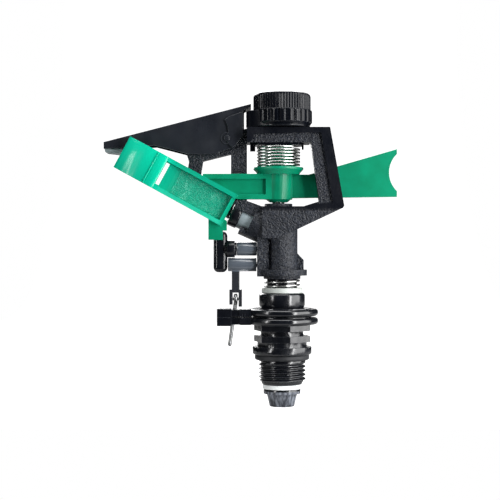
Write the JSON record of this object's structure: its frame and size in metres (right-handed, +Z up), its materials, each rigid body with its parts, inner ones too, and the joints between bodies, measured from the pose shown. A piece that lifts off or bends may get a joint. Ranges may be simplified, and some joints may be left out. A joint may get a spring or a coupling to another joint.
{
  "type": "impact sprinkler",
  "caption": "Part-circle impact sprinkler with a spring-return drive arm, adjustable jet deflector, reversing trip and two stop collars on a threaded swivel bearing",
  "frame": {"origin": "on the bearing axis, at the thread shoulder where the gasket seats on the riser", "axes": "+Z up along the bearing axis, -X the way the nozzle points, -Y the open front with the spoon"},
  "size_m": [0.1304, 0.0331, 0.1388],
  "materials": {
    "sleeve_plastic": "satin black moulded plastic",
    "body_plastic": "coarse grained glass-filled black plastic",
    "trim_plastic": "smooth black moulded plastic",
    "arm_plastic": "smooth green moulded plastic",
    "grey_plastic": "satin grey moulded plastic",
    "white_plastic": "off-white acetal",
    "seal_rubber": "black rubber",
    "spring_steel": "drawn stainless wire"
  },
  "bodies": {
    "base": {"bearing_sleeve": "sleeve_plastic", "inlet_gasket": "seal_rubber"},
    "upper_ring": {"upper_collar": "trim_plastic"},
    "lower_ring": {"lower_collar": "trim_plastic"},
    "rotor": {"nipple_tube": "sleeve_plastic", "lower_seal_washer": "white_plastic", "upper_washer": "white_plastic", "bearing_spring": "spring_steel", "sprinkler_body": "body_plastic", "nozzle_insert": "grey_plastic", "nozzle_tip": "trim_plastic", "arm_axle": "spring_steel", "thrust_bush": "trim_plastic", "spring_hanger": "trim_plastic", "arm_spring": "spring_steel", "flap_pin": "trim_plastic", "knob_screw": "spring_steel", "hammer_post": "grey_plastic", "hammer_pin": "spring_steel", "lever_pin": "spring_steel"},
    "arm": {"drive_arm": "arm_plastic", "arm_bush": "white_plastic"},
    "flap": {"deflector_flap": "trim_plastic"},
    "knob": {"deflector_knob": "trim_plastic"},
    "hammer": {"trip_hammer": "trim_plastic", "trip_spring": "spring_steel"},
    "lever": {"trip_lever": "trim_plastic", "wire_pin": "spring_steel"},
    "wire": {"trip_wire": "spring_steel"}
  },
  "joints": [
    {"name": "rotor_swivel", "type": "hinge", "parent": "base", "child": "rotor", "pos_m": [0, 0, 0], "axis": [0, 0, 1], "range_deg": [-335, 0]},
    {"name": "upper_collar_turn", "type": "hinge", "parent": "base", "child": "upper_ring", "pos_m": [0, 0, 0.021], "axis": [0, 0, 1], "range_deg": [0, 330]},
    {"name": "lower_collar_turn", "type": "hinge", "parent": "base", "child": "lower_ring", "pos_m": [0, 0, 0.017], "axis": [0, 0, 1], "range_deg": [0, 330]},
    {"name": "arm_swing", "type": "hinge", "parent": "rotor", "child": "arm", "pos_m": [-0.0016, 0, 0.08], "axis": [0, 0, 1], "range_deg": [0, 80], "stiffness_Nm_per_rad": 0.015, "springref_deg": -11.46},
    {"name": "knob_turn", "type": "hinge", "parent": "rotor", "child": "knob", "pos_m": [0, 0, 0.11], "axis": [0, 0, 1], "range_deg": [0, 100]},
    {"name": "flap_tilt", "type": "hinge", "parent": "rotor", "child": "flap", "pos_m": [-0.0245, 0, 0.0983], "axis": [0, 1, 0], "range_deg": [-8, 0]},
    {"name": "lever_tilt", "type": "hinge", "parent": "rotor", "child": "lever", "pos_m": [-0.018, -0.0015, 0.0422], "axis": [1, 0, 0], "range_deg": [0, 14]},
    {"name": "hammer_tilt", "type": "hinge", "parent": "rotor", "child": "hammer", "pos_m": [-0.024, -0.0015, 0.0492], "axis": [1, 0, 0], "range_deg": [-14, 0]},
    {"name": "wire_flip", "type": "hinge", "parent": "lever", "child": "wire", "pos_m": [-0.0206, -0.0015, 0.027], "axis": [1, 0, 0], "range_deg": [0, 115]}
  ],
  "couplings": [
    {"joint": "flap_tilt", "follows": "knob_turn", "ratio": -0.08},
    {"joint": "hammer_tilt", "follows": "lever_tilt", "ratio": -1}
  ]
}
